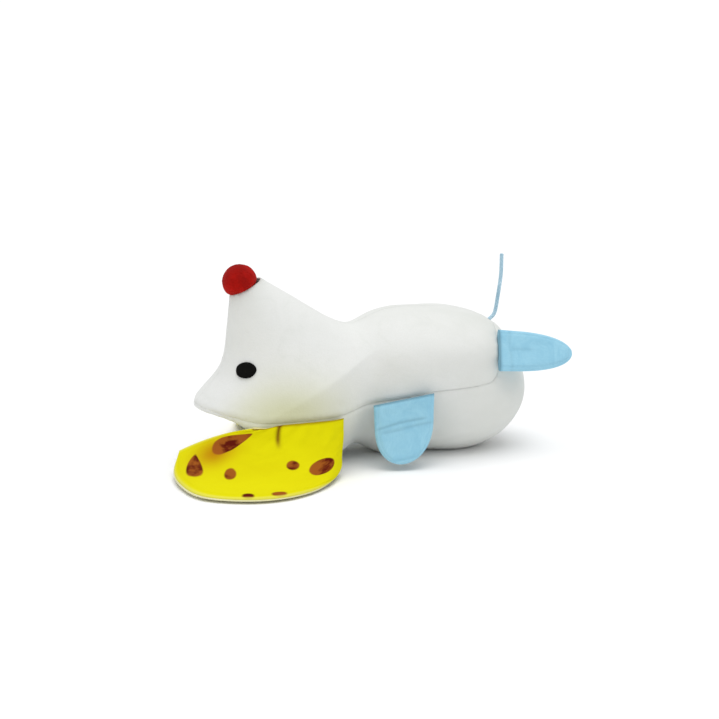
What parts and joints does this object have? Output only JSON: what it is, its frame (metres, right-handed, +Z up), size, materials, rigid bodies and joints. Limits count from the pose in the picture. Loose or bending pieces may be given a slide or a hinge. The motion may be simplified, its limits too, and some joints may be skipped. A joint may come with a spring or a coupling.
{
  "type": "plush mouse with pull-cord clockwork",
  "caption": "Soft stuffed mouse lying on its back, with a raised snout, spotted ears, flat felt arms and feet, and a pull cord that winds a spring-driven shaker inside.",
  "frame": {"origin": "on the floor under the middle of the toy's bounding box, measured without the cord", "axes": "+X from the crown of the head to the feet, +Y to the mouse's left side, +Z up from the floor it lies on"},
  "size_m": [0.1862, 0.1556, 0.0894],
  "materials": {
    "white_velour": "short-pile velour, matt",
    "polyester_fill": "loose fibre",
    "red_plush": "short-pile plush, matt",
    "black_felt": "matt",
    "yellow_print": "printed velour, brown spots",
    "cream_backing": "matt",
    "blue_felt": "felt, matt",
    "blue_cord": "braided cord",
    "case_plastic": "moulded",
    "gear_plastic": "moulded acetal",
    "bright_steel": "turned",
    "spring_steel": "tempered strip"
  },
  "bodies": {
    "toy": {"face_belly_panel_right": "white_velour", "face_belly_panel_left": "white_velour", "back_panel": "white_velour", "stuffing_upper": "polyester_fill", "stuffing_lower": "polyester_fill", "nose": "red_plush", "eye_right": "black_felt", "eye_left": "black_felt", "case_cup": "case_plastic", "case_lid": "case_plastic", "case_screw_1": "bright_steel", "case_screw_2": "bright_steel", "case_screw_3": "bright_steel", "drum_axle": "bright_steel", "idler_axle": "bright_steel", "rotor_axle": "bright_steel", "mainspring": "spring_steel"},
    "ear_right": {"ear_lining_right": "yellow_print", "ear_backing_right": "cream_backing"},
    "arm_right": {"arm_right": "blue_felt"},
    "foot_right": {"foot_right": "blue_felt"},
    "ear_left": {"ear_lining_left": "yellow_print", "ear_backing_left": "cream_backing"},
    "arm_left": {"arm_left": "blue_felt"},
    "foot_left": {"foot_left": "blue_felt"},
    "drum": {"cord_drum": "gear_plastic", "cord_wound": "blue_cord"},
    "idler": {"idler_gear": "gear_plastic"},
    "rotor": {"shaker_rotor": "gear_plastic", "shaker_weight": "bright_steel"},
    "cord": {"pull_cord": "blue_cord"}
  },
  "joints": [
    {"name": "drum_spin", "type": "hinge", "parent": "toy", "child": "drum", "pos_m": [0.03861, -0.01073, 0.027], "axis": [0, 1, 0], "range_deg": [0, 390], "stiffness_Nm_per_rad": 0.004, "springref_deg": -34.38, "deforming": ["mainspring"]},
    {"name": "cord_pull", "type": "slide", "parent": "toy", "child": "cord", "axis": [0.7763, 0, 0.6304], "range_m": [0, 0.06]},
    {"name": "idler_spin", "type": "hinge", "parent": "toy", "child": "idler", "pos_m": [0.02662, -0.01073, 0.03341], "axis": [0, 1, 0], "range_deg": [-940, 0]},
    {"name": "rotor_spin", "type": "hinge", "parent": "toy", "child": "rotor", "pos_m": [0.03116, -0.01073, 0.04623], "axis": [0, 1, 0], "range_deg": [0, 2250]},
    {"name": "ear_right_lift", "type": "hinge", "parent": "toy", "child": "ear_right", "pos_m": [-0.03839, -0.04423, 0.0218], "axis": [-0.9968, -0.0152, -0.0784], "range_deg": [0, 20]},
    {"name": "ear_left_lift", "type": "hinge", "parent": "toy", "child": "ear_left", "pos_m": [-0.03839, 0.02277, 0.0218], "axis": [0.9968, -0.0152, 0.0784], "range_deg": [0, 20]},
    {"name": "arm_right_lift", "type": "hinge", "parent": "toy", "child": "arm_right", "pos_m": [0.01071, -0.04073, 0.0309], "axis": [-0.9787, 0.1303, -0.1584], "range_deg": [0, 60]},
    {"name": "arm_left_lift", "type": "hinge", "parent": "toy", "child": "arm_left", "pos_m": [0.01071, 0.01927, 0.0309], "axis": [0.9787, 0.1303, 0.1584], "range_deg": [0, 60]},
    {"name": "foot_right_swing", "type": "hinge", "parent": "toy", "child": "foot_right", "pos_m": [0.05721, -0.03513, 0.0483], "axis": [-0.1358, -0.4597, -0.8776], "range_deg": [0, 30], "stiffness_Nm_per_rad": 0.002},
    {"name": "foot_left_swing", "type": "hinge", "parent": "toy", "child": "foot_left", "pos_m": [0.05721, 0.01367, 0.0483], "axis": [0.1358, -0.4597, 0.8776], "range_deg": [0, 45], "stiffness_Nm_per_rad": 0.002}
  ],
  "couplings": [
    {"joint": "cord_pull", "follows": "drum_spin", "m_per_rad": 0.0088},
    {"joint": "idler_spin", "follows": "drum_spin", "ratio": -2.4},
    {"joint": "rotor_spin", "follows": "drum_spin", "ratio": 5.76}
  ]
}
